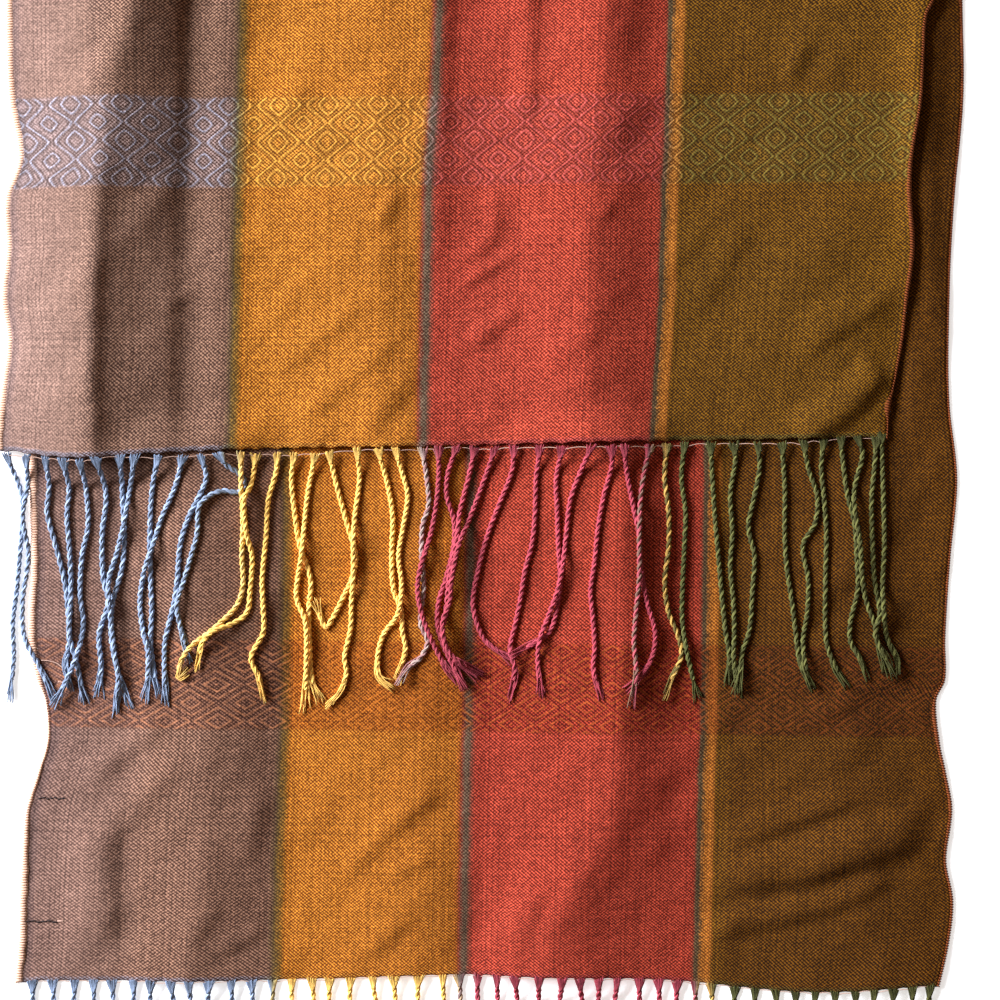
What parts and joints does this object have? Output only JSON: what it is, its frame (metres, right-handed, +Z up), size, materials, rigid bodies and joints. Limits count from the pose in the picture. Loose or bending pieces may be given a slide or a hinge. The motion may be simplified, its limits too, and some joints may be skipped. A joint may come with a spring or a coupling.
{
  "type": "folded fringed scarf",
  "caption": "Long striped woven cotton scarf with twisted fringe at both ends, folded once across its length and laid flat, short end on top.",
  "frame": {"origin": "middle of the footprint, on the surface that the scarf lies on", "axes": "+X along the weft to the olive side, +Y along the warp from the fringed ends to the fold, +Z up from the surface"},
  "size_m": [0.4819, 1.1617, 0.0103],
  "materials": {
    "cloth": "plain-woven matt cotton, wide stripes of mauve, amber, coral red and olive under an orange weft",
    "yarn": "twisted matt cotton yarn: blue, yellow, pink and green in the fringe, orange on the overlocked edges"
  },
  "bodies": {
    "root": {"cloth_lower": "cloth", "cloth_fold": "cloth", "cloth_upper": "cloth", "fringe_upper": "yarn", "fringe_lower": "yarn"}
  },
  "joints": []
}
